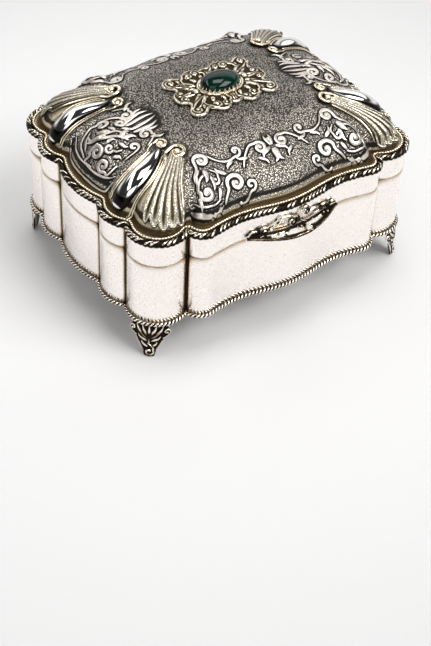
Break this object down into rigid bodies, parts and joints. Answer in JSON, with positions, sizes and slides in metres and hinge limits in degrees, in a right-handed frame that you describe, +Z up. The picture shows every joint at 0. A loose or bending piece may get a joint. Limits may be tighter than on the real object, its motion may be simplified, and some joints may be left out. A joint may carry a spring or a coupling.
{
  "type": "trinket box",
  "caption": "Footed silver trinket box with a lobed plan, hinged embossed dome lid, thumb piece and a green oval stone.",
  "frame": {"origin": "centre of the whole box's rectangle seen from above, on the plane its four feet stand on", "axes": "+Z up, -Y to the front with the thumb piece, +X along the length to the right seen from the front"},
  "size_m": [0.1476, 0.1252, 0.0898],
  "materials": {
    "satin_silver": "satin, faint speckle, warm tarnish in the creases",
    "embossed_silver": "stippled and engraved, darkened in the recesses",
    "cast_silver": "cast relief with dark recesses and rubbed high points",
    "gilt_silver": "pale gilt, polished",
    "velvet": "short cotton velvet",
    "green_stone": "polished cabochon"
  },
  "bodies": {
    "box": {"body_wall": "satin_silver", "bottom_plate": "satin_silver", "base_moulding": "cast_silver", "foot_front_left": "cast_silver", "foot_front_right": "cast_silver", "foot_back_left": "cast_silver", "foot_back_right": "cast_silver", "inner_lip": "gilt_silver", "wall_lining": "velvet", "floor_pad": "velvet", "hinge_body_leaf": "satin_silver", "hinge_pin": "satin_silver"},
    "lid": {"lid_collar": "satin_silver", "lid_dome": "embossed_silver", "rim_moulding": "cast_silver", "bead_wire": "gilt_silver", "hinge_lid_leaf": "satin_silver", "thumb_piece": "cast_silver", "ornament": "cast_silver", "bezel": "gilt_silver", "cabochon": "green_stone"}
  },
  "joints": [
    {"name": "lid_hinge", "type": "hinge", "parent": "box", "child": "lid", "pos_m": [0, 0.0611, 0.0486], "axis": [-1, 0, 0], "range_deg": [0, 100]}
  ]
}
